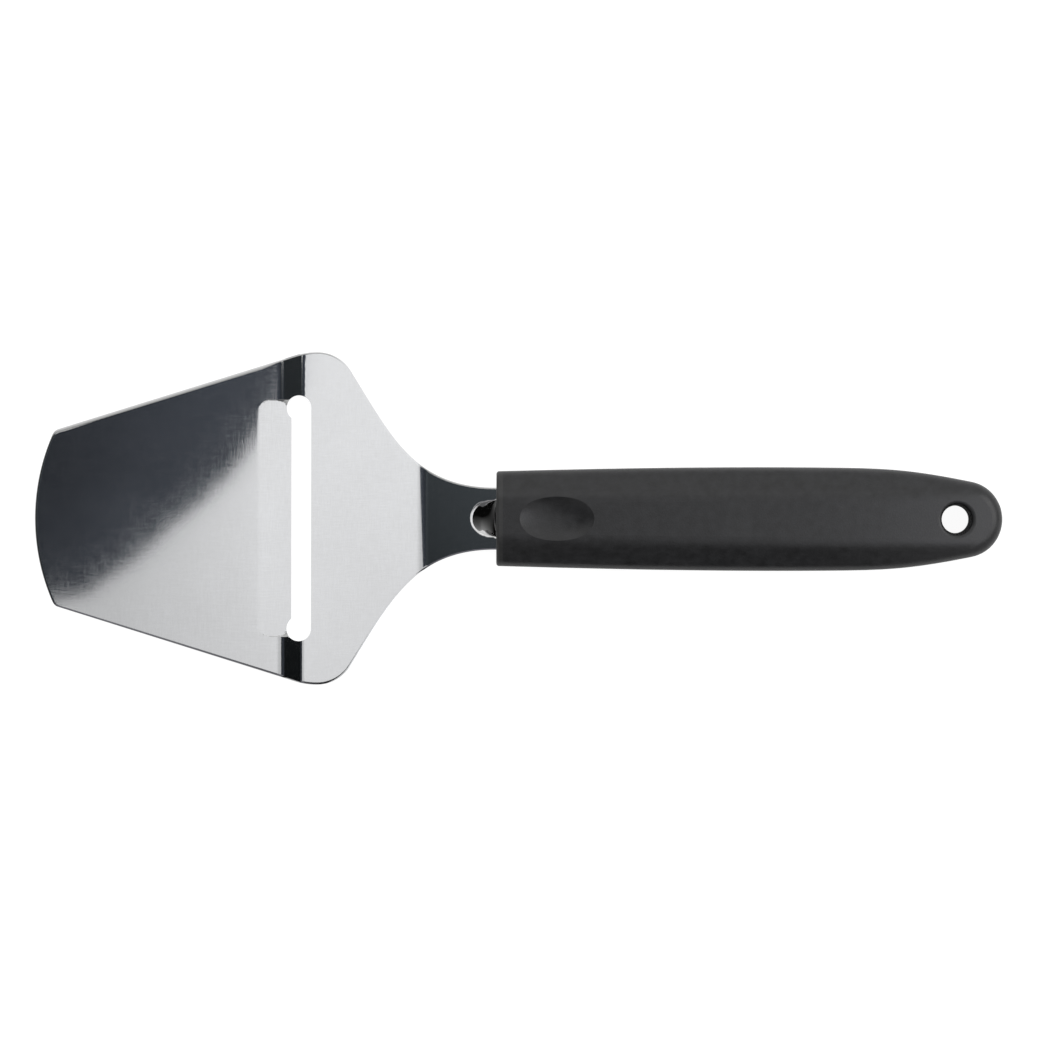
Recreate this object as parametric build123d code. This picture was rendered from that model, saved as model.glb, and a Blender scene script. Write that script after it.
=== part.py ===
from build123d import *
import os
from math import asin, atan2, cos, hypot, radians, sin, sqrt, tan

# Cheese slicer, in millimetres.
# X runs from the tip of the blade to the end of the handle, Y across it, and Z up.
# It lies as on a table: the lip of the blade and the underside of the handle touch Z = 0.

# Whole slicer
blade_length = 114.2
handle_length = 124.5
blade_width = 82.2
sheet_thickness = 1.0
sheet_edge_radius = 0.3
overrun = 3.0
touch_tolerance = 0.001

# Blade outline, from the tip backwards
tip_width = 43.4
tip_radius = 51.6
tip_corner_radius = 2.4
widest_reach = 69.9
crown_front_radius = 19.6
crown_rear_radius = 9.6
flank_angle = 58.0
flank_pull = 19.2
neck_pull = 20.4
neck_width = 15.3

# Slot and the lip that cuts
lip_reach = 63.4
slot_width = 5.0
slot_length = 60.8
slot_end_radius = 3.1
lip_run = 7.2
lip_drop = 0.95
lip_bend_radius = 14.0
lip_crease = 1.5
bevel_length = 2.4
edge_thickness = 0.15

# Steps and bends along the blade, measured on the middle of the sheet
# The step starts ahead of the edge of the lip and ends behind it
slice_step = 1.5
step_ahead = 2.2
step_behind = 2.85
step_front_radius = 9.0
step_rear_radius = 4.0
neck_slope = 14.0
neck_bend_radius = 22.0
ramp_length = 18.45
tang_bend_radius = 10.0
tang_bend_depth = 3.0

# Stiffening hollow pressed into the neck, which runs down towards the handle
groove_margin = 3.2
groove_depth = 1.8
groove_rim_radius = 2.2
groove_reach = 5.6
groove_dive = 8.0
groove_run = 3.0

# Tang, inside the handle
tang_shoulder = 17.0
tang_width = 12.2
tang_length = 64.0
tang_end_radius = 3.0
tang_hole_diameter = 5.0
tang_hole_places = (30.0, 50.0)

# Handle outline
handle_width = 25.3
front_narrowing = 1.0
front_flare = 1.6
belly_to_end = 41.0
taper_to_end = 24.1
taper_narrowing = 0.74
tail_radius = 9.42
tail_angle = 11.5

# Handle seen from the side
handle_height = 17.2
crest_reach = 55.0
front_fall = 1.8
front_slope = 3.0
tail_fall = 5.8
tail_slope = 15.0
front_lift = 0.5
tail_lift = 1.6
rest_start = 17.0
rest_to_end = 30.3

# Handle edges: the level top, the facets that slope from it to the sides, and the blends
top_front_width = 10.8
top_end_width = 13.2
facet_angle = 31.0
facet_blend = 6.0
side_blend = 3.5
under_blend = 3.6
front_edge_radius = 0.7

# Core moulded on the tang, with its collar in front of the grip
collar_length = 1.6
grip_wall = 3.3
core_to_end = 33.3
core_edge_radius = 2.0

# Thumb dimple
dimple_reach = 14.9
dimple_length = 18.4
dimple_width = 11.4
dimple_depth = 1.7

# Hanging hole: a short straight waist, and a draft that widens to both mouths
hole_reach = 11.5
hole_diameter = 6.8
hole_draft = 5.0
waist_height = 7.0
waist_length = 3.0
hole_flare = 0.9

# Places along X that follow from the sizes above
end_x = (blade_length + handle_length) / 2
tip_x = -end_x
front_x = tip_x + blade_length
lip_x = tip_x + lip_reach
slot_rear_x = lip_x + slot_width
slot_end_x = slot_rear_x - slot_end_radius
step_front_x = lip_x - step_ahead
step_rear_x = lip_x + step_behind
widest_x = tip_x + widest_reach
bend_x = front_x - ramp_length
level_x = front_x + tang_bend_depth
tang_end_x = front_x + tang_length
belly_x = end_x - belly_to_end
crest_x = front_x + crest_reach
core_end_x = end_x - core_to_end
dimple_x = front_x + dimple_reach
hole_x = end_x - hole_reach

# Width of the groove, and heights of the middle of the sheet, that follow from the sizes above
groove_width = neck_width - 2 * groove_margin
lip_slope = atan2(lip_drop, lip_run)
tip_level = lip_drop * (1 - bevel_length / lip_run) + sheet_thickness / 2 / cos(lip_slope)
rear_level = tip_level + slice_step
tang_level = rear_level + (level_x - bend_x) * tan(radians(neck_slope))


def mirrored_face(half, across=()):
    """A flat face from the edges of its half on the +Y side, and any that cross the X axis."""
    return make_face(Curve() + list(half) + [edge.mirror(Plane.XZ) for edge in half] + list(across))


def upright(face, half_width):
    """A face drawn as X and Z, pulled out sideways to the same width each side."""
    return extrude(Plane.XZ.offset(-half_width) * face, 2 * half_width)


def band(points, radii):
    """The side view of the sheet along a bent centre line."""
    line = FilletPolyline(*points, radius=radii)
    return make_face(offset(line, sheet_thickness / 2, side=Side.BOTH, kind=Kind.ARC).edges())


def stands(edge):
    """Whether an edge runs up and down more than it runs along."""
    return abs((edge @ 1 - edge @ 0).Z) > edge.length / 2


def heading(angle):
    """The direction that rises at an angle, in degrees, from the length of the slicer."""
    return (cos(radians(angle)), sin(radians(angle)))


def blade_outline():
    """The blank of the blade and its tang, seen from above."""
    corner_x = tip_x + tip_radius - sqrt(tip_radius**2 - (tip_width / 2) ** 2)
    corner = (corner_x, tip_width / 2)
    # The straight side leaves the corner and meets the front crown arc as its tangent
    crown_y = blade_width / 2 - crown_front_radius
    run = widest_x - corner_x
    rise = crown_y - tip_width / 2
    side_angle = atan2(rise, run) + asin(crown_front_radius / hypot(run, rise))
    side_end = (
        widest_x - crown_front_radius * sin(side_angle),
        crown_y + crown_front_radius * cos(side_angle),
    )
    crown = (widest_x, blade_width / 2)
    fall = radians(flank_angle)
    flank_start = (
        widest_x + crown_rear_radius * sin(fall),
        blade_width / 2 - crown_rear_radius * (1 - cos(fall)),
    )
    flank_lead = (flank_start[0] + flank_pull * cos(fall), flank_start[1] - flank_pull * sin(fall))
    neck = (front_x, neck_width / 2)
    shoulder = (front_x + tang_shoulder, neck_width / 2)
    tang_start = (shoulder[0] + (neck_width - tang_width) / 2, tang_width / 2)
    half = [
        RadiusArc((tip_x, 0), corner, tip_radius),
        Line(corner, side_end),
        TangentArc(side_end, crown, tangent=(cos(side_angle), sin(side_angle))),
        TangentArc(crown, flank_start, tangent=(1, 0)),
        Bezier(flank_start, flank_lead, (front_x - neck_pull, neck_width / 2), neck),
        Line(neck, shoulder),
        Line(shoulder, tang_start),
        Line(tang_start, (tang_end_x, tang_width / 2)),
        Line((tang_end_x, tang_width / 2), (tang_end_x, 0)),
    ]
    face = mirrored_face(half)
    tip_corners = [v for v in face.vertices() if abs(v.X - corner_x) < tip_corner_radius]
    tip_corners = [v for v in tip_corners if abs(v.Y) > tip_width / 4]
    face = fillet(tip_corners, tip_corner_radius)
    tang_corners = [v for v in face.vertices() if v.X > tang_end_x - tang_end_radius]
    return fillet([v for v in tang_corners if abs(v.Y) > tang_width / 4], tang_end_radius)


def slot_cutter():
    """The slot, with a round relief at each end that bites past the lip."""
    end_y = slot_length / 2 - slot_end_radius
    middle = Pos((lip_x + slot_rear_x) / 2, 0) * Rectangle(slot_width, 2 * end_y)
    ends = [Pos(slot_end_x, side * end_y) * Circle(slot_end_radius) for side in (-1, 1)]
    return extrude(middle + ends, 2 * tang_level, both=True)


# The bends of the middle of the sheet, from the tip to the end of the tang
sheet_points = [
    (tip_x - overrun, tip_level),
    (step_front_x, tip_level),
    (step_rear_x, rear_level),
    (bend_x, rear_level),
    (level_x, tang_level),
    (tang_end_x + overrun, tang_level),
]
sheet_radii = [step_front_radius, step_rear_radius, neck_bend_radius, tang_bend_radius]


def under_sheet():
    """All that lies below the middle of the sheet."""
    low = -2 * tang_level
    line = FilletPolyline(*sheet_points, radius=sheet_radii)
    start = sheet_points[0]
    end = sheet_points[-1]
    floor = Polyline(end, (end[0], low), (start[0], low), start)
    return upright(make_face(line.edges() + floor.edges()), blade_width)


def lip():
    """The strip in front of the slot, pressed down to its edge, with a short crease at each end."""
    root = (lip_x - lip_run - lip_bend_radius * tan(lip_slope / 2) - overrun, tip_level)
    fall = (lip_x - lip_run, tip_level)
    rise = (step_front_x, tip_level)
    risen = slice_step * step_ahead / (step_ahead + step_behind)
    pressed = band([root, fall, (lip_x, tip_level - lip_drop)], [lip_bend_radius])
    stepped = band([root, rise, (lip_x, tip_level + risen)], [step_front_radius])
    half_width = slot_length / 2 - slot_end_radius
    outer = half_width + lip_crease
    strip = upright(pressed, half_width)
    for side in (-1, 1):
        sections = [
            Plane.XZ.offset(-side * half_width) * pressed,
            Plane.XZ.offset(-side * outer) * stepped,
        ]
        strip += loft(sections, ruled=True)
    height = 2 * (slice_step + sheet_thickness)
    window = Pos((root[0] + lip_x) / 2, 0, tip_level) * Box(lip_x - root[0], 2 * outer, height)
    return strip, window


def bevel_cutter():
    """What is ground off the underside of the lip to leave a thin edge."""
    under = sheet_thickness / 2 / cos(lip_slope)
    start = (lip_x - bevel_length, 0)
    edge_z = tip_level - lip_drop + under - edge_thickness
    slope = edge_z / bevel_length
    beyond = (lip_x + overrun, edge_z + slope * overrun)
    corners = [start, beyond, (lip_x + overrun, -overrun), (lip_x - bevel_length, -overrun)]
    half_width = slot_length / 2 - slot_end_radius + lip_crease
    return upright(make_face(Polyline(*corners, close=True)), half_width)


def groove_tools():
    """The hollow pressed into the top of the neck, and the ridge that it makes underneath."""
    slope = radians(neck_slope)
    hollow_radius = ((groove_width / 2) ** 2 + groove_depth**2) / (2 * groove_depth)
    lift = sheet_thickness / 2 + hollow_radius - groove_depth
    front_foot = front_x - groove_reach + groove_width / 2 * cos(slope)
    front_foot_z = tang_level - (level_x - front_foot) * tan(slope)
    front = (front_foot - lift * sin(slope), front_foot_z + lift * cos(slope))
    rear = (front[0] + groove_run, front[1] - groove_run * tan(radians(groove_dive)))
    path = Plane.XZ * Line(front, rear)
    tools = []
    for radius in (hollow_radius, hollow_radius + sheet_thickness):
        section = Plane(origin=path @ 0, z_dir=path % 0) * Circle(radius)
        tube = sweep(section, path)
        tools.append(tube + [Pos(*(path @ end)) * Sphere(radius) for end in (0, 1)])
    return tools


def groove_edges(body):
    """The edges where the hollow of the groove meets the top of the sheet."""
    line = FilletPolyline(*sheet_points, radius=sheet_radii)
    ahead_x = front_x - groove_reach - sheet_thickness
    behind_x = front_x + groove_run + groove_width
    edges = []
    for edge in body.edges():
        middle = edge @ 0.5
        over_groove = ahead_x < middle.X < behind_x and abs(middle.Y) < groove_width / 2 + touch_tolerance
        from_line = line.distance_to(Vector(middle.X, middle.Z, 0))
        on_skin = abs(from_line - sheet_thickness / 2) < touch_tolerance
        level = tang_level - max(0, level_x - middle.X) * tan(radians(neck_slope))
        if over_groove and on_skin and middle.Z > level:
            edges.append(edge)
    return edges


def rim_edges(body):
    """The upper and lower edges of the sheet all round its outline."""
    outline = blade_outline().wire()
    edges = []
    for edge in body.edges():
        middle = edge @ 0.5
        on_outline = outline.distance_to(Vector(middle.X, middle.Y, 0)) < touch_tolerance
        if on_outline and not stands(edge):
            edges.append(edge)
    return edges


def blade():
    """One pressed sheet: front plate, lip, slot, rear plate, grooved neck and tang."""
    strip, window = lip()
    hollow, ridge = groove_tools()
    body = upright(band(sheet_points, sheet_radii), blade_width)
    body = body - window + strip + (ridge & under_sheet()) - hollow
    body &= extrude(blade_outline(), 2 * tang_level, both=True)
    body = body - slot_cutter() - bevel_cutter()
    for place in tang_hole_places:
        body -= Pos(front_x + place, 0, tang_level) * Cylinder(tang_hole_diameter / 2, 2 * tang_level)
    body = fillet(groove_edges(body), groove_rim_radius)
    return fillet(rim_edges(body), sheet_edge_radius)


def handle_outline():
    """The handle seen from above."""
    half_width = handle_width / 2
    front = (front_x, half_width - front_narrowing)
    belly = (belly_x, half_width)
    taper = (end_x - taper_to_end, half_width - taper_narrowing)
    tail = (end_x - tail_radius * (1 - sin(radians(tail_angle))), tail_radius * cos(radians(tail_angle)))
    side = Spline(front, belly, taper, tail, tangents=[heading(front_flare), heading(-tail_angle)])
    front_line = Line(front, (front[0], -front[1]))
    tail_arc = ThreePointArc(tail, (end_x, 0), (tail[0], -tail[1]))
    return mirrored_face([side], [front_line, tail_arc])


def handle_side():
    """The handle seen from the side, level underneath where it rests, and carried on past its ends."""
    before = front_x - overrun
    beyond = end_x + overrun
    top_front = (before, handle_height - front_fall - overrun * tan(radians(front_slope)))
    top_end = (beyond, handle_height - tail_fall - overrun * tan(radians(tail_slope)))
    crest = (crest_x, handle_height)
    rest_front = (front_x + rest_start, 0)
    rest_rear = (end_x - rest_to_end, 0)
    edges = [
        Spline(top_front, crest, top_end, tangents=[heading(front_slope), heading(-tail_slope)]),
        Line(top_end, (beyond, tail_lift)),
        TangentArc(rest_rear, (beyond, tail_lift), tangent=(1, 0)),
        Line(rest_rear, rest_front),
        TangentArc(rest_front, (before, front_lift), tangent=(-1, 0)),
        Line((before, front_lift), top_front),
    ]
    return make_face(Curve() + edges)


def top_face(body):
    """The highest face of the handle."""
    return body.faces().sort_by(Axis.Z)[-1]


def crowned_bar():
    """A bar longer and wider than the handle: its side view, with the top sloped off to both sides."""
    facet_run = handle_width / 2
    facet_fall = facet_run * tan(radians(facet_angle))
    half_front = top_front_width / 2 + facet_run
    half_end = top_end_width / 2 + facet_run
    ahead_x = front_x - overrun
    beyond_x = end_x + overrun
    corners = [(ahead_x, -half_front), (beyond_x, -half_end), (beyond_x, half_end), (ahead_x, half_front)]
    plan = make_face(Polyline(*corners, close=True))
    bar = extrude(plan, handle_height + overrun) & upright(handle_side(), handle_width)
    bar = chamfer(long_edges(top_face(bar)), facet_run, facet_fall, reference=top_face(bar))
    return fillet(long_edges(top_face(bar)), facet_blend)


def long_edges(face):
    """The two edges of a face that run along the handle."""
    by_side = face.edges().sort_by(Axis.Y)
    return [by_side[0], by_side[-1]]


def side_edges(body, upper):
    """The upper or the lower edges of the handle's upright sides and tail."""
    edges = []
    for face in body.faces():
        middle = face.center()
        if middle.X < front_x + touch_tolerance or abs(face.normal_at(middle).Z) > touch_tolerance:
            continue
        along = [edge for edge in face.edges() if not stands(edge)]
        edges += [edge for edge in along if ((edge @ 0.5).Z > middle.Z) == upper]
    return edges


def hole_cutter():
    """What the hanging hole takes out of the handle."""
    waist = hole_diameter / 2
    low = waist_height - waist_length / 2
    high = waist_height + waist_length / 2
    mouth = waist + handle_height * tan(radians(hole_draft))
    half = Polyline(
        (0, low - handle_height),
        (mouth, low - handle_height),
        (waist, low),
        (waist, high),
        (mouth, high + handle_height),
        (0, high + handle_height),
        close=True,
    )
    return Pos(hole_x, 0) * revolve(Plane.XZ * make_face(half), Axis.Z)


def mouth_edges(body):
    """The edges of the two mouths of the hanging hole."""
    edges = []
    for edge in body.edges():
        middle = edge @ 0.5
        from_axis = hypot(middle.X - hole_x, middle.Y)
        from_waist = abs(middle.Z - waist_height)
        if from_axis < hole_diameter and from_waist > waist_length and not stands(edge):
            edges.append(edge)
    return edges


def handle_body():
    """The whole handle: its outline, side view, sloped facets, soft underside, dimple and hole."""
    body = crowned_bar() & extrude(handle_outline(), handle_height + overrun)
    body = fillet(side_edges(body, upper=True), side_blend)
    body = fillet(side_edges(body, upper=False), under_blend)
    body = fillet(body.faces().sort_by(Axis.X)[0].edges(), front_edge_radius)
    hits = body.find_intersection_points(Axis((dimple_x, 0, 0), (0, 0, 1)))
    crown, upward = max(hits, key=lambda hit: hit[0].Z)
    ball_radius = ((dimple_width / 2) ** 2 + dimple_depth**2) / (2 * dimple_depth)
    bowl = scale(Sphere(ball_radius), by=(dimple_length / dimple_width, 1, 1))
    surface = Plane(origin=crown, x_dir=(1, 0, 0), z_dir=upward)
    body -= surface * Pos(0, 0, ball_radius - dimple_depth) * bowl
    body -= hole_cutter()
    return fillet(mouth_edges(body), hole_flare)


def core_blank(handle):
    """The core before the tang is in it: a rounded bar, and a collar cut from the handle's own front."""
    width = handle_width - 2 * front_narrowing - 2 * grip_wall
    height = handle_height - front_fall - 2 * grip_wall
    middle = (front_x + core_end_x) / 2
    bar = Pos(middle, 0, grip_wall + height / 2) * Box(core_end_x - front_x, width, height)
    bar = fillet([edge for edge in bar.edges() if (edge @ 0.5).X > front_x], core_edge_radius)
    collar = handle & Pos(front_x, 0, 0) * Box(2 * collar_length, 2 * handle_width, 4 * handle_height)
    return collar + (bar & handle)


def make_parts():
    """Every piece of the slicer, by name."""
    sheet = blade()
    handle = handle_body()
    core = core_blank(handle)
    return {
        "blade": sheet,
        "handle_core": core - sheet,
        "handle_grip": handle - core - sheet,
    }


os.makedirs("parts", exist_ok=True)
for name, piece in make_parts().items():
    export_step(piece, f"parts/{name}.step")
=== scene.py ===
import math

import bpy
import numpy as np
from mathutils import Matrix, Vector
from mathutils.geometry import delaunay_2d_cdt


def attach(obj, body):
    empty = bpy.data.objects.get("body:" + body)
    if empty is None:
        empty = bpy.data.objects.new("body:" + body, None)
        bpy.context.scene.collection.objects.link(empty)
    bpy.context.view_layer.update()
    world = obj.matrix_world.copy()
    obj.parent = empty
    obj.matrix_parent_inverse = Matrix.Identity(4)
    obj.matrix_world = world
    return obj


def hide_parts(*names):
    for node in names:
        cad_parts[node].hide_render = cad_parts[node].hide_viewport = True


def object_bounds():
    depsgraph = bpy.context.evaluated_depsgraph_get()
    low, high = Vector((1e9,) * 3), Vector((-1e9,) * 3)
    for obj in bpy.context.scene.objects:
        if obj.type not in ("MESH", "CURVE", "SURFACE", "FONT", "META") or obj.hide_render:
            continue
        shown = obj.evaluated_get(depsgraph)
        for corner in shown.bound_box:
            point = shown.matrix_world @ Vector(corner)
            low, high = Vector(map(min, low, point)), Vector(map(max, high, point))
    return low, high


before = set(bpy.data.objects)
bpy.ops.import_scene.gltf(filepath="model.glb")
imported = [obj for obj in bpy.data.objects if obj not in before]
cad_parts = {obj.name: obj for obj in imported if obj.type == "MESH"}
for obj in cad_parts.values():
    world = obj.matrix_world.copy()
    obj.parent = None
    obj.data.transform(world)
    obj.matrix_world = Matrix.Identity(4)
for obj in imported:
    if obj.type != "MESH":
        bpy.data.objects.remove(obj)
cad_low, cad_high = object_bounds()

MM = 0.001

# Camera: metres, the lens in millimetres, the roll in degrees
camera_height = 1.3
camera_lens = 182.0
camera_sensor = 36.0
camera_x = 0.42 * MM
camera_y = -0.09 * MM
camera_roll = 0.094

# Floor, and the light of the white room
floor_size = 8.0
floor_gap = 0.02 * MM
floor_grey = 0.85
floor_glow = 1.2
floor_glow_share = 0.78
sky_strength = 0.55

# Lamps: sizes and places in metres, and their brightness
softbox_size = 2.2
softbox_place = (0.25, 0.2, 1.6)
softbox_radiance = 0.45
strip_length = 1.4
strip_width = 0.35
strip_place = (0.05, 0.75, 0.4)
strip_radiance = 3.9
end_size = 0.45
end_place = (0.65, 0.12, 0.45)
end_radiance = 2.3

# Cards that only glossy surfaces mirror, in metres. Their ramps are two places and the two shares of
# the card's colour that belong to them
flag_height = 0.3
ceiling_height = 0.5
card_gap = 0.001
plain_ramp = (0.0, 1.0, 1.0, 1.0)

# Dark flag over the tip: its right edge is given in millimetres where the tip plate mirrors it
dark_edge = [
    (-54.5, 70.0), (-54.8, 33.0), (-60.3, 26.0), (-65.0, 19.6), (-69.6, 12.2), (-76.7, 5.0), (-85.0, -1.5),
    (-94.2, -9.9), (-102.0, -15.1), (-106.5, -19.0), (-113.0, -20.3), (-121.0, -20.4), (-122.0, -200.0),
]
dark_left = -0.32
dark_near = -0.25
dark_far = 0.086
dark_colour = (0.0395, 0.045, 0.056)
dark_ramp_x = (-0.15, -0.09, 0.55, 1.5)
dark_ramp_y = (-0.03, 0.015, 1.5, 0.95)

# Dark cards that the sloped neck and the sloped webs beside the slot mirror
neck_card_x = (-0.205, -0.15)
neck_card_y = (-0.03, 0.07)
neck_card_colour = (0.037, 0.043, 0.048)
neck_ramp_x = (-0.192, -0.166, 0.95, 1.4)
neck_ramp_y = (-0.02, 0.01, 0.7, 1.0)
web_card_x = (-0.32, -0.212)
web_card_colour = (0.018, 0.021, 0.023)
web_ramp_y = (-0.048, 0.03, 0.3, 1.2)
streak_card_x = (-0.185, -0.145)
streak_card_y = (0.05, 0.075)
streak_card_colour = (0.8, 0.8, 0.8)

# Painted shade: a black sheet just in front of the handle's front face, standing in for that shaded face,
# which the hollow of the neck mirrors
painted_collar_shade_x = -5.3 * MM
painted_collar_shade_y = 11.0 * MM
painted_collar_shade_z = (5.5 * MM, 16.5 * MM)
painted_collar_shade_colour = (0.003, 0.003, 0.003)
painted_collar_shade_ramp_y = (-0.001, 0.008, 1.0, 90.0)

# Light cards and the flags beside them, over the level plates and the handle
ceiling_x = (-0.38, 0.38)
ceiling_y = (-0.35, 0.2)
ceiling_colour = (0.985, 0.99, 1.01)
ceiling_ramp_x = (-0.14, -0.075, 0.72, 1.0)
ceiling_ramp_y = (-0.055, 0.055, 0.89, 1.01)
far_card_y = (0.087, 0.45)
far_ramp_y = (0.09, 0.25, 0.36, 1.1)
near_flag_y = (-0.25, -0.06)
near_flag_colour = (0.02, 0.02, 0.022)
near_ramp_x = (-0.12, -0.05, 9.0, 1.0)
end_card_x = (0.2, 0.45)
end_card_y = (-0.25, 0.05)
end_card_colour = (1.0, 1.0, 1.05)
end_ramp_x = (0.2, 0.28, 1.0, 2.4)

# Walls of the room on both long sides, in front of the strip light and opposite it
side_wall_x = (-0.15, 0.25)
side_wall_y = -0.5
side_wall_z = (0.0, 0.5)
side_wall_colour = (0.12, 0.12, 0.125)
far_wall_x = (-0.75, 0.85)
far_wall_y = 0.55
far_wall_z = (0.1, 0.7)
far_wall_colour = (0.72, 0.72, 0.72)
far_wall_ramp_x = (-0.7, 0.3, 0.75, 1.3)

# Steel finish. A noise has its scale per metre, its detail and its roughness; a spread has the two values
# that it maps and what they become; a hairline set has its turn in degrees, its scale and its rarity
grain_scales = ((350.0, 4200.0, 900.0), (4200.0, 350.0, 900.0))
grain_noise = (1.0, 3.0, 0.6)
wave_noise = (60.0, 1.0, 0.35)
smear_noise = (38.0, 5.0, 0.62)
hairline_sets = ((3.0, 3400.0, 0.7), (87.0, 3000.0, 0.7), (38.0, 2600.0, 0.77), (-52.0, 2400.0, 0.77))
hairline_stretch = (0.035, 1.0, 0.3)
hairline_detail = (2.0, 0.6)
hairline_fade = 0.08
hairline_roughness = 0.02
smear_roughness = (0.35, 0.7, 0.045, 0.06)
grain_roughness = (0.8, 1.2, 0.0, 0.03)
smear_shade = (0.3, 0.7, 0.0, 0.4)
grain_shade = (0.75, 1.25, 0.05, 0.5)
steel_dark = (0.69, 0.69, 0.685)
steel_light = (0.79, 0.795, 0.795)

# Depths of the steel's bumps, in millimetres
wave_depth = 0.012
steel_grain_depth = 0.0012
hairline_depth = 0.0003

# Plastic finishes: dark and light tint, roughness, grain per metre and its depth in millimetres
grip_finish = ((0.006, 0.006, 0.0065), (0.012, 0.0122, 0.0135), 0.38, 2600.0, 0.02)
core_finish = ((0.016, 0.016, 0.016), (0.02, 0.02, 0.02), 0.42, 3200.0, 0.004)
plastic_gloss = 0.44
moulded_detail = (3.0, 0.65)
pit_share = 0.6
worn_noise = (45.0, 2.0, 0.5)
worn_spread = (0.35, 0.7, 0.0, 1.0)
worn_smoothing = 0.04
mottle_noise = (420.0, 4.0, 0.6)
mottle_range = (0.3, 0.7)
mottle_roughness = 0.05

# The blade's sheet, in millimetres, with the sizes of its solid
sheet_thickness = 1.0
front_x = -5.15
tip_x = -119.35
tip_width = 43.4
tip_radius = 51.6
tip_corner_radius = 2.4
widest_x = -49.45
blade_width = 82.2
crown_front_radius = 19.6
crown_rear_radius = 9.6
flank_angle = 58.0
flank_pull = 19.2
neck_pull = 20.4
neck_width = 15.3
tang_shoulder = 17.0
tang_width = 12.2
tang_length = 64.0
tang_holes = (30.0, 50.0)
tang_hole_radius = 2.5
lip_x = -55.95
slot_width = 5.0
slot_length = 60.8
slot_end_radius = 3.1
step_ahead = 2.2
step_behind = 2.85
slice_step = 1.5
ramp_length = 18.45
neck_slope = 14.0
tang_bend_depth = 3.0
lip_run = 7.2
lip_drop = 0.95
bevel_length = 2.4
edge_thickness = 0.15

# Where the sheet differs from its solid: a tighter bend at the neck, a slightly wider lip with an eased
# bend and round corners, a hollow that starts further out and dives deeper, edges rolled in by the press,
# and square corners at the end of the tang, inside the handle
bend_radii = (9.0, 4.0, 15.0, 10.0)
lip_half_width = 29.3
lip_bend_start = 8.75
lip_bend_length = 4.0
lip_corner_radius = 4.0
lip_wall_slopes = (4.0, 0.8)
lip_wall_ends = (5.0, 1.0)
lip_wall_blend = 0.08
groove_margin = 3.8
groove_depth = 2.0
groove_reach = 6.5
groove_dive = 12.0
groove_run = 5.0
groove_blend = 1.0
edge_roll = 1.15
edge_fall = 0.17
edge_roll_fade = 3.0
thin_roll = 0.45
thin_fall = 0.08

# How finely the sheet's mesh follows its curves, in millimetres: steps over the sheet and along its
# outline, and how far the zones of the finer ones reach
outline_step = 0.5
plain_step = 1.6
across_step = 1.0
bend_step = 0.3
fine_step = 0.3
lip_steps = (bend_step * 1.2, 1.2)
neck_bend_step = bend_step * 1.5
lip_zone_end = 0.3
press_zone_reach = 1.8
rise_zone = (1.8, 3.9)
neck_bend_reach = 4.0
hollow_zone = (8.5, 8.0)
lip_end_zone = (4.6, 0.5)
edge_rings = (0.08, 0.2, 0.35, 0.6, 0.9, 1.15)
slot_rings = (0.12, 0.3)
wall_rows = (-0.06, 0.06, 0.2, 0.36, 0.56, 0.8)
wall_middle = 0.36
wall_row_step = 0.2
wall_clearance = 0.6
edge_clearance = 0.15
slot_clearance = 0.1
hole_clearance = 0.3
sliver_area = 0.001
merge_distance = 1e-5
slope_step = 0.01
beyond = 3.0
no_hollow = 1e3
points_at_once = 1000


def link(tree, source, target):
    """Joins two sockets of a node tree."""
    tree.links.new(source, target)


def node(tree, kind, inputs=None, **settings):
    """Adds a node, with its settings and the values or links of its inputs."""
    made = tree.nodes.new(kind)
    for key, value in settings.items():
        setattr(made, key, value)
    for key, value in (inputs or {}).items():
        if isinstance(value, bpy.types.NodeSocket):
            link(tree, value, made.inputs[key])
        else:
            made.inputs[key].default_value = value
    return made


def math_node(tree, operation, a, b):
    """The value of a sum on two inputs."""
    return node(tree, "ShaderNodeMath", {0: a, 1: b}, operation=operation).outputs[0]


def spread(tree, value, low, high, to_low, to_high):
    """Maps one range of values onto another, and holds it there."""
    inputs = {"Value": value, "From Min": low, "From Max": high, "To Min": to_low, "To Max": to_high}
    return node(tree, "ShaderNodeMapRange", inputs, clamp=True).outputs[0]


def noise(tree, places, scale, detail, roughness):
    """A noise texture's value."""
    inputs = {"Vector": places, "Scale": scale, "Detail": detail, "Roughness": roughness}
    return node(tree, "ShaderNodeTexNoise", inputs).outputs[0]


def stretched(tree, places, scale):
    """Places scaled along each axis, so that a round texture becomes streaks."""
    return node(tree, "ShaderNodeMapping", {"Vector": places, "Scale": scale}).outputs[0]


def two_tints(tree, share, dark, light):
    """A colour between two tints."""
    tint = node(tree, "ShaderNodeMix", {"Factor": share}, data_type="RGBA")
    tint.inputs[6].default_value = (*dark, 1.0)
    tint.inputs[7].default_value = (*light, 1.0)
    return tint.outputs[2]


def bump(tree, height, depth, normal=None, invert=False):
    """A bump of a depth in millimetres, on top of another one."""
    inputs = {"Height": height, "Distance": depth * MM, "Strength": 1.0}
    if normal is not None:
        inputs["Normal"] = normal
    return node(tree, "ShaderNodeBump", inputs, invert=invert).outputs[0]


def new_material(name):
    """An empty material, and its tree."""
    material = bpy.data.materials.new(name)
    material.use_nodes = True
    material.node_tree.nodes.clear()
    return material, material.node_tree


def show(tree, shader):
    """Makes a shader the surface of its material."""
    link(tree, shader, node(tree, "ShaderNodeOutputMaterial").inputs["Surface"])


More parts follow.
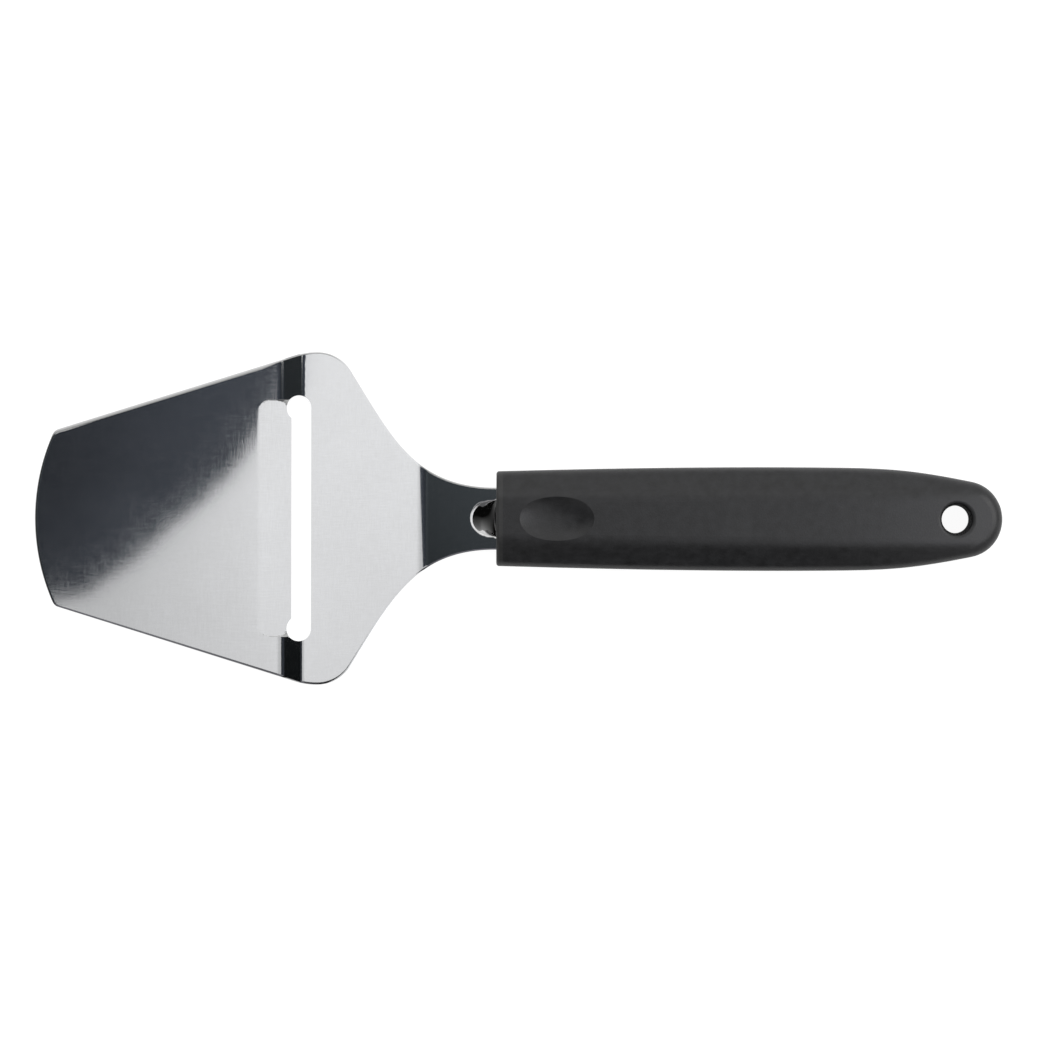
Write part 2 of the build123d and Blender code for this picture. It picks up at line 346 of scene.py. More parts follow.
def new_group(name, inputs, outputs):
    """A node group with named sockets, and the ends that they show inside it."""
    group = bpy.data.node_groups.new(name, "ShaderNodeTree")
    for socket, kind in inputs:
        group.interface.new_socket(name=socket, in_out="INPUT", socket_type=kind)
    for socket, kind in outputs:
        group.interface.new_socket(name=socket, in_out="OUTPUT", socket_type=kind)
    start = group.nodes.new("NodeGroupInput").outputs
    end = group.nodes.new("NodeGroupOutput").inputs
    return group, start, end


def use_group(tree, group, inputs):
    """Places a node group in a tree."""
    return node(tree, "ShaderNodeGroup", inputs, node_tree=group).outputs


def hairlines_group():
    """Fine straight hairlines, all turned one way: 1 on a hairline, 0 between them."""
    group, start, end = new_group(
        "hairlines",
        [("Vector", "NodeSocketVector"), ("Turn", "NodeSocketFloat"), ("Per metre", "NodeSocketFloat"),
         ("Rarity", "NodeSocketFloat")],
        [("Mask", "NodeSocketFloat")],
    )
    turned = node(group, "ShaderNodeVectorRotate", {"Vector": start["Vector"], "Angle": start["Turn"]},
                  rotation_type="Z_AXIS").outputs[0]
    streaks = noise(group, stretched(group, turned, hairline_stretch), start["Per metre"],
                    *hairline_detail)
    full = math_node(group, "ADD", start["Rarity"], hairline_fade)
    link(group, spread(group, streaks, start["Rarity"], full, 0.0, 1.0), end["Mask"])
    return group


def grain_group():
    """Fine moulded grain: its height, where it is worn smoother, and a faint mottle."""
    group, start, end = new_group(
        "moulded_grain",
        [("Vector", "NodeSocketVector"), ("Per metre", "NodeSocketFloat")],
        [("Height", "NodeSocketFloat"), ("Worn", "NodeSocketFloat"), ("Mottle", "NodeSocketFloat")],
    )
    fine = noise(group, start["Vector"], start["Per metre"], *moulded_detail)
    pits = node(group, "ShaderNodeTexVoronoi", {"Vector": start["Vector"], "Scale": start["Per metre"]},
                feature="SMOOTH_F1").outputs[0]
    broad = noise(group, start["Vector"], *worn_noise)
    link(group, math_node(group, "ADD", fine, math_node(group, "MULTIPLY", pits, pit_share)), end["Height"])
    link(group, spread(group, broad, *worn_spread), end["Worn"])
    link(group, noise(group, start["Vector"], *mottle_noise), end["Mottle"])
    return group


def steel_material(hairlines):
    """Bright stainless sheet: nearly a mirror, with fine cross grain, hairlines and a slight waviness."""
    material, tree = new_material("bright_steel")
    places = node(tree, "ShaderNodeTexCoord").outputs["Object"]
    across, along = (noise(tree, stretched(tree, places, scale), *grain_noise) for scale in grain_scales)
    weave = math_node(tree, "ADD", across, along)
    waves = noise(tree, places, *wave_noise)
    smear = noise(tree, places, *smear_noise)
    marks = 0.0
    for turn, per_metre, rarity in hairline_sets:
        inputs = {"Vector": places, "Turn": math.radians(turn), "Per metre": per_metre, "Rarity": rarity}
        marks = math_node(tree, "MAXIMUM", marks, use_group(tree, hairlines, inputs)["Mask"])
    rough = spread(tree, smear, *smear_roughness)
    rough = math_node(tree, "ADD", rough, math_node(tree, "MULTIPLY", marks, hairline_roughness))
    rough = math_node(tree, "ADD", rough, spread(tree, weave, *grain_roughness))
    smeared = spread(tree, smear, *smear_shade)
    shade = math_node(tree, "ADD", smeared, spread(tree, weave, *grain_shade))
    normal = bump(tree, waves, wave_depth)
    normal = bump(tree, weave, steel_grain_depth, normal)
    normal = bump(tree, marks, hairline_depth, normal, invert=True)
    surface = node(tree, "ShaderNodeBsdfPrincipled", {
        "Base Color": two_tints(tree, shade, steel_dark, steel_light),
        "Metallic": 1.0,
        "Roughness": rough,
        "Normal": normal,
    })
    show(tree, surface.outputs[0])
    return material


def plastic_material(name, grain, dark, light, roughness, grain_per_metre, grain_depth):
    """Black moulded plastic with a fine matt grain."""
    material, tree = new_material(name)
    places = node(tree, "ShaderNodeTexCoord").outputs["Object"]
    moulded = use_group(tree, grain, {"Vector": places, "Per metre": grain_per_metre})
    least, most = roughness - mottle_roughness, roughness + mottle_roughness
    rough = spread(tree, moulded["Mottle"], *mottle_range, least, most)
    smoother = math_node(tree, "MULTIPLY", moulded["Worn"], worn_smoothing)
    rough = math_node(tree, "SUBTRACT", rough, smoother)
    shade = spread(tree, moulded["Mottle"], *mottle_range, 0.0, 1.0)
    surface = node(tree, "ShaderNodeBsdfPrincipled", {
        "Base Color": two_tints(tree, shade, dark, light),
        "Roughness": rough,
        "Specular IOR Level": plastic_gloss,
        "Normal": bump(tree, moulded["Height"], grain_depth),
    })
    show(tree, surface.outputs[0])
    return material


def front_only(tree, shader):
    """A shader that is clear when it is met from behind."""
    behind = node(tree, "ShaderNodeNewGeometry").outputs["Backfacing"]
    clear = node(tree, "ShaderNodeBsdfTransparent")
    return node(tree, "ShaderNodeMixShader", {0: behind, 1: shader, 2: clear.outputs[0]}).outputs[0]


def floor_material():
    """Pale floor that the camera sees as white, with the slicer's shadow kept."""
    material, tree = new_material("pale_floor")
    path = node(tree, "ShaderNodeLightPath").outputs
    seen = math_node(tree, "MAXIMUM", path["Is Camera Ray"], path["Is Transmission Ray"])
    share = math_node(tree, "MULTIPLY", seen, floor_glow_share)
    matt = node(tree, "ShaderNodeBsdfDiffuse", {"Color": (floor_grey, floor_grey, floor_grey, 1.0)})
    glow = node(tree, "ShaderNodeEmission", {"Color": (1.0, 1.0, 1.0, 1.0), "Strength": floor_glow})
    mixed = node(tree, "ShaderNodeMixShader", {0: share, 1: matt.outputs[0], 2: glow.outputs[0]})
    show(tree, front_only(tree, mixed.outputs[0]))
    return material


def card_material(name, colour, ramp_x, ramp_y):
    """A glowing card whose brightness changes along X and along Y."""
    material, tree = new_material(name)
    places = node(tree, "ShaderNodeTexCoord").outputs["Object"]
    place = node(tree, "ShaderNodeSeparateXYZ", {"Vector": places}).outputs
    along_x = spread(tree, place["X"], *ramp_x)
    along_y = spread(tree, place["Y"], *ramp_y)
    strength = math_node(tree, "MULTIPLY", along_x, along_y)
    glow = node(tree, "ShaderNodeEmission", {"Color": (*colour, 1.0), "Strength": strength})
    show(tree, front_only(tree, glow.outputs[0]))
    return material


def flat_mesh(name, corners):
    """One flat polygon, as an object."""
    mesh = bpy.data.meshes.new(name)
    mesh.from_pydata(corners, [], [list(range(len(corners)))])
    made = bpy.data.objects.new(name, mesh)
    bpy.context.scene.collection.objects.link(made)
    return made


def mirrored_card(name, corners, colour, ramp_x=plain_ramp, ramp_y=plain_ramp):
    """A card that shows only in what is glossy, and casts no shadow."""
    card = flat_mesh(name, corners)
    card.data.materials.append(card_material(name, colour, ramp_x, ramp_y))
    card.visible_camera = False
    card.visible_diffuse = False
    card.visible_transmission = False
    card.visible_volume_scatter = False
    card.visible_shadow = False


def level_corners(x_range, y_range, height):
    """The corners of a level rectangle that faces down."""
    (x0, x1), (y0, y1) = x_range, y_range
    return [(x0, y0, height), (x0, y1, height), (x1, y1, height), (x1, y0, height)]


def wall_corners(x_range, y, z_range):
    """The corners of an upright rectangle that faces -Y, or +Y with its X range turned round."""
    (x0, x1), (z0, z1) = x_range, z_range
    return [(x0, y, z0), (x1, y, z0), (x1, y, z1), (x0, y, z1)]


def make_floor():
    """The floor, a hair below the slicer, which can be seen through from underneath."""
    half = floor_size / 2
    floor = flat_mesh("floor", level_corners((-half, half), (-half, half), 0.0)[::-1])
    floor.data.materials.append(floor_material())
    floor.location.z = cad_low.z - floor_gap


def make_dark_cards():
    """The dark things that the tip plate, the neck and the webs mirror, and the painted shade on the handle's
    front that the hollow mirrors.
    """
    reach = 1 + flag_height / camera_height
    corners = [(x * MM * reach, y * MM * reach, flag_height) for x, y in dark_edge]
    corners += [(dark_left, dark_near, flag_height), (dark_left, dark_far, flag_height)]
    mirrored_card("dark_flag", corners, dark_colour, dark_ramp_x, dark_ramp_y)
    below_flag = flag_height - card_gap
    neck_corners = level_corners(neck_card_x, neck_card_y, below_flag)
    mirrored_card("neck_card", neck_corners, neck_card_colour, neck_ramp_x, neck_ramp_y)
    web_corners = level_corners(web_card_x, (dark_near, dark_far), below_flag)
    mirrored_card("web_card", web_corners, web_card_colour, ramp_y=web_ramp_y)
    streak_corners = level_corners(streak_card_x, streak_card_y, flag_height - 3 * card_gap)
    mirrored_card("streak_card", streak_corners, streak_card_colour)
    # Painted shade: a black sheet on the handle's front face, in place of its shade, for the hollow to mirror
    low, high = painted_collar_shade_z
    sides = [(painted_collar_shade_y, low), (-painted_collar_shade_y, low), (-painted_collar_shade_y, high), (painted_collar_shade_y, high)]
    painted_collar_shade_corners = [(painted_collar_shade_x, y, z) for y, z in sides]
    mirrored_card("painted_collar_shade", painted_collar_shade_corners, painted_collar_shade_colour, ramp_y=painted_collar_shade_ramp_y)


def make_light_cards():
    """The light things that the level plates and the handle mirror, and the flags that bound them."""
    white = (1.0, 1.0, 1.0)
    corners = level_corners(ceiling_x, ceiling_y, ceiling_height)
    mirrored_card("ceiling", corners, ceiling_colour, ceiling_ramp_x, ceiling_ramp_y)
    corners = level_corners((dark_left, 0.0), far_card_y, flag_height)
    mirrored_card("far_card", corners, white, ramp_y=far_ramp_y)
    corners = level_corners((web_card_x[1], 0.0), near_flag_y, flag_height - 2 * card_gap)
    mirrored_card("near_flag", corners, near_flag_colour, near_ramp_x)
    corners = level_corners(end_card_x, end_card_y, ceiling_height - 10 * card_gap)
    mirrored_card("end_card", corners, end_card_colour, end_ramp_x)
    corners = wall_corners(side_wall_x[::-1], side_wall_y, side_wall_z)
    mirrored_card("side_wall", corners, side_wall_colour)
    corners = wall_corners(far_wall_x, far_wall_y, far_wall_z)
    mirrored_card("far_wall", corners, far_wall_colour, far_wall_ramp_x)


def area_light(name, length, width, place, radiance):
    """A rectangular lamp of an even brightness that faces the slicer."""
    lamp = bpy.data.lights.new(name, "AREA")
    lamp.shape = "RECTANGLE"
    lamp.size = length
    lamp.size_y = width
    lamp.energy = radiance * math.pi * length * width
    made = bpy.data.objects.new(name, lamp)
    made.location = place
    made.rotation_euler = (-Vector(place)).to_track_quat("-Z", "Y").to_euler()
    bpy.context.scene.collection.objects.link(made)


def make_lights():
    """A white room, a large softbox overhead, a strip light beyond the far edge, a lamp beyond the handle."""
    world = bpy.data.worlds.new("room")
    bpy.context.scene.world = world
    world.use_nodes = True
    tree = world.node_tree
    tree.nodes.clear()
    path = node(tree, "ShaderNodeLightPath").outputs
    strength = spread(tree, path["Is Camera Ray"], 0.0, 1.0, sky_strength, 1.0)
    sky = node(tree, "ShaderNodeBackground", {"Color": (1.0, 1.0, 1.0, 1.0), "Strength": strength})
    out = node(tree, "ShaderNodeOutputWorld")
    link(tree, sky.outputs[0], out.inputs["Surface"])
    area_light("softbox", softbox_size, softbox_size, softbox_place, softbox_radiance)
    area_light("strip_light", strip_length, strip_width, strip_place, strip_radiance)
    area_light("end_light", end_size, end_size, end_place, end_radiance)


def make_camera():
    """The camera of the photograph: straight above, the tip of the blade to the left."""
    lens = bpy.data.cameras.new("camera")
    lens.lens = camera_lens
    lens.sensor_width = camera_sensor
    camera = bpy.data.objects.new("camera", lens)
    camera.location = (camera_x, camera_y, camera_height)
    camera.rotation_euler.z = math.radians(camera_roll)
    bpy.context.scene.collection.objects.link(camera)
    bpy.context.scene.camera = camera


def arc_points(centre, radius, start, end):
    """Points on an arc between two angles in degrees, without the last."""
    count = max(3, math.ceil(math.radians(abs(end - start)) * radius / outline_step))
    turns = np.radians(np.linspace(start, end, count, endpoint=False))
    return np.column_stack([centre[0] + radius * np.cos(turns), centre[1] + radius * np.sin(turns)])


def line_points(start, end):
    """Points on a straight line, without the last."""
    count = max(1, math.ceil(math.dist(start, end) / outline_step))
    return np.linspace(start, end, count, endpoint=False)


def bezier_points(corners):
    """Points on a curve with two pulling points, without the last."""
    a, b, c, d = (np.array(corner) for corner in corners)
    count = math.ceil(math.dist(corners[0], corners[-1]) / outline_step)
    t = np.linspace(0, 1, count, endpoint=False)[:, None]
    return a * (1 - t) ** 3 + 3 * b * t * (1 - t) ** 2 + 3 * c * t**2 * (1 - t) + d * t**3


def sheet_outline():
    """The outline of the blade and its tang from above, anticlockwise."""
    half_tip = tip_width / 2
    corner_x = tip_x + tip_radius - math.sqrt(tip_radius**2 - half_tip**2)
    crown_y = blade_width / 2 - crown_front_radius
    run = widest_x - corner_x
    rise = crown_y - half_tip
    side = math.atan2(rise, run) + math.asin(crown_front_radius / math.hypot(run, rise))
    # The tip's corner is a small arc that touches the tip arc and the straight side
    tip_centre_x = tip_x + tip_radius
    normal = np.array([-math.sin(side), math.cos(side)])
    on_side = np.array([corner_x, half_tip]) - normal * tip_corner_radius
    along = np.array([math.cos(side), math.sin(side)])
    reach = tip_radius - tip_corner_radius
    offset = on_side - np.array([tip_centre_x, 0.0])
    middle = offset @ along
    corner = on_side + along * (-middle - math.sqrt(middle**2 - offset @ offset + reach**2))
    tip_turn = math.degrees(math.atan2(corner[1], tip_centre_x - corner[0]))
    side_turn = 90 + math.degrees(side)
    side_start = corner + normal * tip_corner_radius
    side_end = np.array([widest_x, crown_y]) + normal * crown_front_radius
    rear_centre = (widest_x, blade_width / 2 - crown_rear_radius)
    fall = math.radians(flank_angle)
    out = (crown_rear_radius * math.sin(fall), crown_rear_radius * math.cos(fall))
    flank = (rear_centre[0] + out[0], rear_centre[1] + out[1])
    lead = (flank[0] + flank_pull * math.cos(fall), flank[1] - flank_pull * math.sin(fall))
    neck = (front_x, neck_width / 2)
    shoulder = (front_x + tang_shoulder, neck_width / 2)
    tang = (shoulder[0] + (neck_width - tang_width) / 2, tang_width / 2)
    end = (front_x + tang_length, tang_width / 2)
    half = [
        arc_points((tip_centre_x, 0.0), tip_radius, 180.0, 180.0 - tip_turn),
        arc_points(corner, tip_corner_radius, 180.0 - tip_turn, side_turn),
        line_points(side_start, side_end),
        arc_points((widest_x, crown_y), crown_front_radius, side_turn, 90.0),
        arc_points(rear_centre, crown_rear_radius, 90.0, 90.0 - flank_angle),
        bezier_points([flank, lead, (front_x - neck_pull, neck_width / 2), neck]),
        line_points(neck, shoulder),
        line_points(shoulder, tang),
        line_points(tang, end),
        line_points(end, (end[0], 0.0)),
        np.array([[end[0], 0.0]]),
    ]
    half = np.concatenate(half)
    return np.concatenate([half * (1, -1), half[-2:0:-1]])


def slot_outline():
    """The slot with its round reliefs, clockwise."""
    end_y = slot_length / 2 - slot_end_radius
    slot_end_x = lip_x + slot_width - slot_end_radius
    bite = math.degrees(math.acos((slot_end_x - lip_x) / slot_end_radius))
    upper = arc_points((slot_end_x, end_y), slot_end_radius, 180.0 + bite, 0.0)
    rear = line_points((lip_x + slot_width, end_y), (lip_x + slot_width, -end_y))
    lower = arc_points((slot_end_x, -end_y), slot_end_radius, 0.0, -180.0 - bite)
    front_y = end_y - slot_end_radius * math.sin(math.radians(bite))
    front = line_points((lip_x, -front_y), (lip_x, front_y))
    return np.concatenate([upper, rear, lower, front])


def hole_outline(place):
    """A round hole in the tang, clockwise."""
    return arc_points((front_x + place, 0.0), tang_hole_radius, 360.0, 0.0)


def inward(loop):
    """The direction into the sheet at each point of a loop, which has the sheet on its left."""
    ahead = np.roll(loop, -1, axis=0) - loop
    ahead /= np.linalg.norm(ahead, axis=1)[:, None]
    along = ahead + np.roll(ahead, 1, axis=0)
    along /= np.linalg.norm(along, axis=1)[:, None]
    return np.column_stack([-along[:, 1], along[:, 0]])


def distance_to(points, loop):
    """How far each point is from a closed loop, and the direction into the sheet at the nearest place."""
    side = np.roll(loop, -1, axis=0) - loop
    length = np.linalg.norm(side, axis=1)
    along = side / length[:, None]
    distances, nearest = [], []
    for group in np.array_split(points, max(1, len(points) // points_at_once)):
        x = group[:, :1] - loop[:, 0]
        y = group[:, 1:] - loop[:, 1]
        run = np.clip(x * along[:, 0] + y * along[:, 1], 0, length)
        away = np.hypot(x - run * along[:, 0], y - run * along[:, 1])
        distances.append(away.min(axis=1))
        nearest.append(away.argmin(axis=1))
    into = np.column_stack([-along[:, 1], along[:, 0]])
    return np.concatenate(distances), into[np.concatenate(nearest)]


def is_inside(points, loop):
    """Which points lie inside a closed loop."""
    x, y = points[:, :1], points[:, 1:]
    x0, y0 = loop[:, 0], loop[:, 1]
    x1, y1 = np.roll(x0, -1), np.roll(y0, -1)
    spans = (y0 > y) != (y1 > y)
    rise = np.where(y1 == y0, 1.0, y1 - y0)
    crossing = x0 + (y - y0) * (x1 - x0) / rise
    return (spans & (x < crossing)).sum(axis=1) % 2 == 1


# The bends of the middle of the sheet, seen from the side
groove_width = neck_width - 2 * groove_margin
lip_slope = math.atan2(lip_drop, lip_run)
tip_level = lip_drop * (1 - bevel_length / lip_run) + sheet_thickness / 2 / math.cos(lip_slope)
rear_level = tip_level + slice_step
bend_x = front_x - ramp_length
level_x = front_x + tang_bend_depth
tang_level = rear_level + (level_x - bend_x) * math.tan(math.radians(neck_slope))
sheet_line = [
    (tip_x - beyond, tip_level),
    (lip_x - step_ahead, tip_level),
    (lip_x + step_behind, rear_level),
    (bend_x, rear_level),
    (level_x, tang_level),
    (front_x + tang_length + beyond, tang_level),
]


def bent_height(x, line, radii, offset):
    """The height at X of a skin of the sheet that runs at an offset above a bent line."""
    headings = [math.atan2(b[1] - a[1], b[0] - a[0]) for a, b in zip(line, line[1:])]
    turns = [headings[0]] + [(a + b) / 2 for a, b in zip(headings, headings[1:])] + [headings[-1]]
    grown = [1.0] + [math.cos((b - a) / 2) for a, b in zip(headings, headings[1:])] + [1.0]
    shifts = [offset / share for share in grown]
    corners = [(p[0] - s * math.sin(t), p[1] + s * math.cos(t)) for p, t, s in zip(line, turns, shifts)]
    height = np.interp(x, [p[0] for p in corners], [p[1] for p in corners])
    for corner, radius, a, b in zip(corners[1:-1], radii, headings, headings[1:]):
        bend = math.copysign(1.0, b - a)
        radius = radius - bend * offset
        reach = radius * math.tan(abs(b - a) / 2)
        start = (corner[0] - reach * math.cos(a), corner[1] - reach * math.sin(a))
        end_x = corner[0] + reach * math.cos(b)
        centre = (start[0] - bend * radius * math.sin(a), start[1] + bend * radius * math.cos(a))
        on_bend = (x > start[0]) & (x < end_x)
        arc = centre[1] - bend * np.sqrt(np.maximum(radius**2 - (x - centre[0]) ** 2, 0.0))
        height = np.where(on_bend, arc, height)
    return height


def soft_least(a, b, blend):
    """The smaller of two values, rounded off where they cross."""
    near = np.maximum(blend - np.abs(a - b), 0.0) / blend
    return np.minimum(a, b) - near**2 * blend / 4


def lip_depth(x, y, rise):
    """How far the sheet is pressed down in front of the slot, from where the step has lifted it."""
    start_x = lip_x - lip_bend_start
    along = np.clip((np.minimum(x, lip_x) - start_x) / lip_bend_length, 0.0, None)
    eased = np.minimum(along, 1.0)
    pressed = eased**3 - eased**4 / 2 + np.maximum(along - 1.0, 0.0)
    pressed *= lip_drop / (lip_bend_start / lip_bend_length - 0.5)
    from_front = x - start_x
    from_side = lip_half_width - np.abs(y)
    in_corner = (from_front < lip_corner_radius) & (from_side < lip_corner_radius)
    rounded = lip_corner_radius - np.hypot(lip_corner_radius - from_front, lip_corner_radius - from_side)
    inside = np.where(in_corner, rounded, np.minimum(from_front, from_side))
    wall = np.maximum(inside, 0.0) * np.interp(x, [lip_x - end for end in lip_wall_ends], lip_wall_slopes)
    depth = soft_least(pressed + rise, wall, lip_wall_blend)
    return np.where((inside > 0) & (x < lip_x + slot_width / 2), np.maximum(depth, 0.0), 0.0)


def hollow_height(x, y, thickness):
    """The floor of the hollow in the neck: a round nose, then a trough that dives into the handle."""
    ball = ((groove_width / 2) ** 2 + groove_depth**2) / (2 * groove_depth)
    nose_x = front_x - groove_reach + groove_width / 2
    neck_z = tang_level + sheet_thickness / 2 - (level_x - nose_x) * math.tan(math.radians(neck_slope))
    dive = math.radians(groove_dive)
    chord = np.sqrt(np.maximum((ball + thickness) ** 2 - y**2, 0.0))
    along = np.clip(x - nose_x + chord * math.sin(dive), 0.0, groove_run)
    middle = neck_z - groove_depth + ball - along * math.tan(dive)
    inside = (ball + thickness) ** 2 - (x - nose_x - along) ** 2 - y**2
    return np.where(inside > 0, middle - np.sqrt(np.maximum(inside, 0.0)), no_hollow)


def upper_height(x, y):
    """The height of the sheet's upper skin, without its rolled edges."""
    height = bent_height(x, sheet_line, bend_radii, sheet_thickness / 2)
    height = height - lip_depth(x, y, height - tip_level - sheet_thickness / 2)
    return soft_least(height, hollow_height(x, y, 0.0), groove_blend)


def lower_height(x, y):
    """The height of the sheet's lower skin, ground thin under the lip."""
    height = bent_height(x, sheet_line, bend_radii, -sheet_thickness / 2)
    height = height - lip_depth(x, y, height - tip_level + sheet_thickness / 2)
    height = soft_least(height, hollow_height(x, y, sheet_thickness), groove_blend)
    under = sheet_thickness / 2 / math.cos(lip_slope)
    edge_z = tip_level - lip_drop + under - edge_thickness
    ground = edge_z * (x - lip_x + bevel_length) / bevel_length
    at_lip = (x < lip_x + slot_width / 2) & (np.abs(y) < lip_half_width)
    return np.where(at_lip, np.maximum(height, ground), height)


def rolled_edge(points, loop, fall, width):
    """How far the edge along a loop is rolled in, and how steeply along X and Y."""
    away, into = distance_to(points, loop)
    left = np.maximum(1 - away / width, 0.0)
    return fall * left**2, (-2 * fall / width * left)[:, None] * into


def skin(points, measure, roll, roll_slope):
    """The heights of a skin and its upward directions."""
    x, y = points[:, 0], points[:, 1]
    along = (measure(x + slope_step, y) - measure(x - slope_step, y)) / (2 * slope_step)
    across = (measure(x, y + slope_step) - measure(x, y - slope_step)) / (2 * slope_step)
    slope = np.column_stack([along, across]) + roll_slope
    normals = np.column_stack([-slope, np.ones(len(points))])
    return measure(x, y) + roll, normals / np.linalg.norm(normals, axis=1)[:, None]


def grid(x_range, y_range, x_step, y_step):
    """A staggered grid of points over a rectangle."""
    xs = np.arange(x_range[0], x_range[1], x_step)
    ys = np.arange(y_range[0], y_range[1], y_step)
    x, y = np.meshgrid(xs, ys)
    x = x + np.where(np.arange(len(ys)) % 2, x_step / 2, 0.0)[:, None]
    return np.column_stack([x.ravel(), y.ravel()])


def in_box(points, box):
    """Which points lie inside an upright box, given as its X and its Y range."""
    (x0, x1), (y0, y1) = box
    return (points[:, 0] > x0) & (points[:, 0] < x1) & (points[:, 1] > y0) & (points[:, 1] < y1)


def fine_zones():
    """The boxes where the sheet bends, each with its steps along X and Y."""
    across = (-blade_width / 2, blade_width / 2)
    over_lip = (lip_x - lip_bend_start - wall_clearance, lip_x)
    press_x = lip_x - step_ahead
    over_hollow = (front_x - hollow_zone[0], front_x + hollow_zone[1])
    zones = [
        ((over_lip[0], lip_x - lip_zone_end), across, *lip_steps),
        ((press_x - press_zone_reach, press_x + press_zone_reach), across, bend_step, across_step),
        ((lip_x + rise_zone[0], lip_x + rise_zone[1]), across, bend_step, across_step),
        ((bend_x - neck_bend_reach, bend_x + neck_bend_reach), across, neck_bend_step, across_step),
        (over_hollow, (-neck_width / 2, neck_width / 2), fine_step, fine_step),
    ]
    inner, outer = lip_half_width - lip_end_zone[0], lip_half_width + lip_end_zone[1]
    zones += [(over_lip, ends, fine_step, fine_step) for ends in ((-outer, -inner), (inner, outer))]
    return zones


def lip_wall_points():
    """Rows of points along the two side walls of the lip."""
    xs = np.arange(lip_x - lip_run, lip_x, wall_row_step)
    ys = [side * (lip_half_width - row) for row in wall_rows for side in (-1, 1)]
    return np.concatenate([np.column_stack([xs, np.full(len(xs), y)]) for y in ys])


def sheet_points(loops):
    """Points all over the sheet, close together where it bends."""
    half = blade_width / 2
    points = grid((tip_x, front_x + tang_length), (-half, half), plain_step, plain_step)
    zones = fine_zones()
    for zone in zones:
        points = points[~in_box(points, zone[:2])]
    taken = []
    for zone in reversed(zones):
        fresh = grid(*zone)
        for box in taken:
            fresh = fresh[~in_box(fresh, box)]
        taken.append(zone[:2])
        points = np.concatenate([points, fresh])
    beside = np.abs(np.abs(points[:, 1]) - lip_half_width + wall_middle) < wall_clearance
    points = points[~(beside & (points[:, 0] > lip_x - lip_run) & (points[:, 0] < lip_x))]
    points = np.concatenate([points, lip_wall_points()])
    outer, slot = loops[:2]
    points = points[is_inside(points, outer) & ~is_inside(points, slot)]
    points = points[distance_to(points, outer)[0] > edge_rings[-1] + edge_clearance]
    points = points[distance_to(points, slot)[0] > slot_rings[-1] + slot_clearance]
    for hole in loops[2:]:
        points = points[~is_inside(points, hole)]
        points = points[distance_to(points, hole)[0] > hole_clearance]
    rings = [outer + depth * inward(outer) for depth in edge_rings]
    rings += [slot + depth * inward(slot) for depth in slot_rings]
    return np.concatenate([points] + rings)


def sheet_triangles(loops, inner):
    """The places and triangles that fill the outline and leave its holes, and each loop's place numbers."""
    flat = np.concatenate(loops + [inner])
    starts = np.cumsum([0] + [len(loop) for loop in loops])
    edges = [(a + i, a + (i + 1) % (b - a)) for a, b in zip(starts, starts[1:]) for i in range(b - a)]
    corners = [Vector(place) for place in flat.tolist()]
    places, _, triangles, sources = delaunay_2d_cdt(corners, edges, [], 0, merge_distance)[:4]
    flat = np.array([(p.x, p.y) for p in places])
    number = {source: place for place, found in enumerate(sources) for source in found}
    rims = [[number[i] for i in range(a, b)] for a, b in zip(starts, starts[1:])]
    triangles = np.array([t for t in triangles if len(t) == 3])
    a, b, c = (flat[triangles[:, i]] for i in range(3))
    area = ((b[:, 0] - a[:, 0]) * (c[:, 1] - a[:, 1]) - (b[:, 1] - a[:, 1]) * (c[:, 0] - a[:, 0])) / 2
    on_rim = np.zeros(len(flat), dtype=bool)
    on_rim[[place for rim in rims for place in rim]] = True
    middles = (a + b + c) / 3
    keep = is_inside(middles, loops[0]) & ~(on_rim[triangles].all(axis=1) & (np.abs(area) < sliver_area))
    for loop in loops[1:]:
        keep &= ~is_inside(middles, loop)
    triangles[area < 0] = triangles[area < 0][:, ::-1]
    return flat, triangles[keep], rims


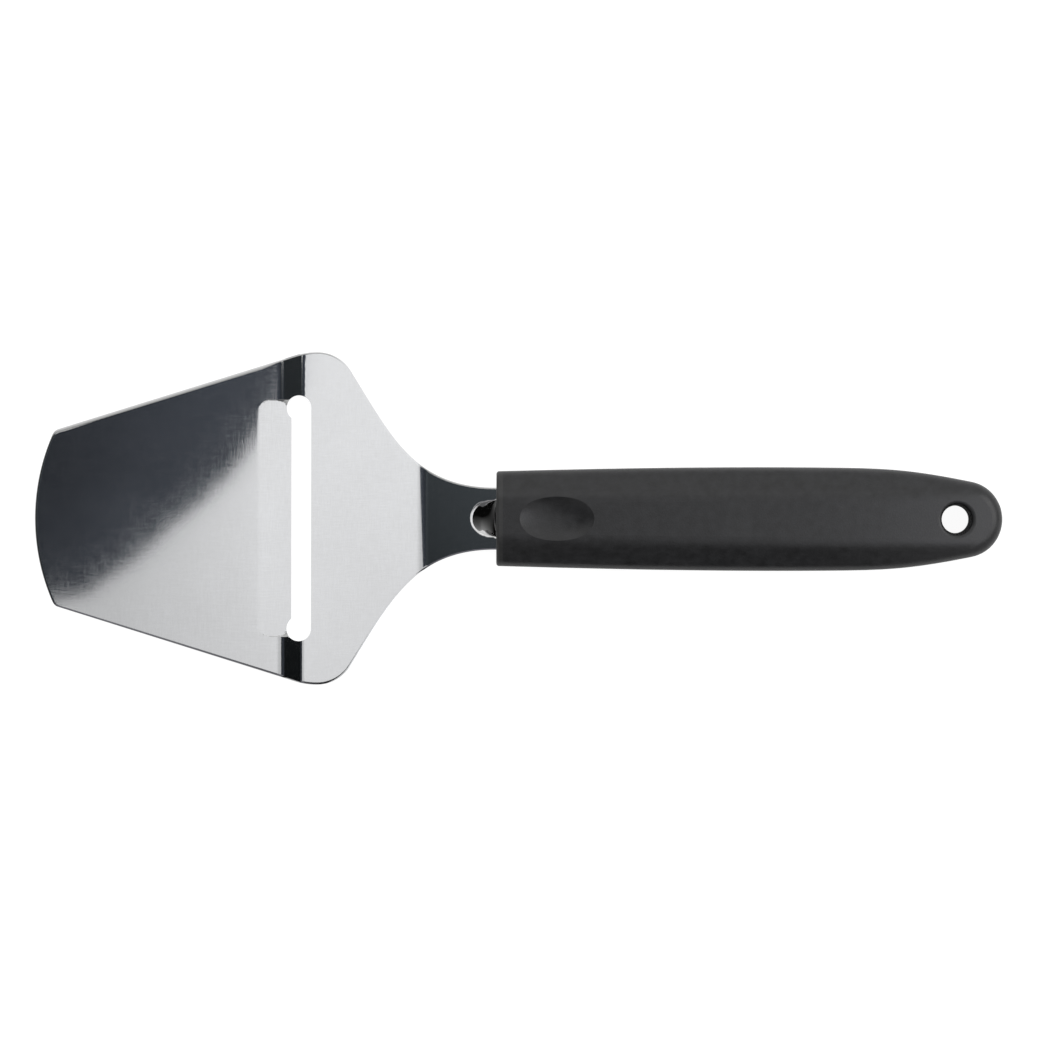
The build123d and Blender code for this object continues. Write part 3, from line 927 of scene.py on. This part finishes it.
def blade_sheet():
    """The pressed sheet: an upper and a lower skin over one pattern of triangles, joined by the cut edges."""
    loops = [sheet_outline(), slot_outline()] + [hole_outline(place) for place in tang_holes]
    flat, triangles, rims = sheet_triangles(loops, sheet_points(loops))
    wide = np.interp(flat[:, 0], [lip_x - lip_run, lip_x - step_ahead], [1.0, 0.0])
    wide *= np.interp(flat[:, 1], [tip_width / 2 - edge_roll_fade, tip_width / 2], [0.0, 1.0])
    fall = thin_fall + wide * (edge_fall - thin_fall)
    width = thin_roll + wide * (edge_roll - thin_roll)
    roll, roll_slope = rolled_edge(flat, loops[0], fall, width)
    top, top_normals = skin(flat, upper_height, -roll, -roll_slope)
    low, low_normals = skin(flat, lower_height, roll, roll_slope)
    count = len(flat)
    walls, wall_normals = [], []
    for rim, loop in zip(rims, loops):
        outward = -inward(loop)
        for i, place in enumerate(rim):
            ahead = (i + 1) % len(rim)
            walls.append((place, place + count, rim[ahead] + count, rim[ahead]))
            wall_normals += [(*outward[j], 0.0) for j in (i, i, ahead, ahead)]
    vertices = np.concatenate([np.column_stack([flat, top]), np.column_stack([flat, low])]) * MM
    skins = np.concatenate([triangles, triangles[:, ::-1] + count])
    mesh = bpy.data.meshes.new("blade_sheet")
    mesh.from_pydata(vertices.tolist(), [], skins.tolist() + walls)
    mesh.polygons.foreach_set("use_smooth", [True] * len(mesh.polygons))
    normals = np.concatenate([top_normals, -low_normals])[skins.ravel()]
    mesh.normals_split_custom_set(normals.tolist() + wall_normals)
    sheet = bpy.data.objects.new("blade_sheet", mesh)
    bpy.context.scene.collection.objects.link(sheet)
    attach(sheet, "root")
    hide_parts("blade")
    return sheet


def dress(name, material):
    """Gives a CAD node its finish."""
    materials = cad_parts[name].data.materials
    materials.clear()
    materials.append(material)


make_camera()
make_lights()
make_floor()
make_dark_cards()
make_light_cards()

grain = grain_group()
blade_sheet().data.materials.append(steel_material(hairlines_group()))
dress("handle_grip", plastic_material("grip_plastic", grain, *grip_finish))
dress("handle_core", plastic_material("core_plastic", grain, *core_finish))

bpy.context.scene.view_settings.view_transform = "Standard"
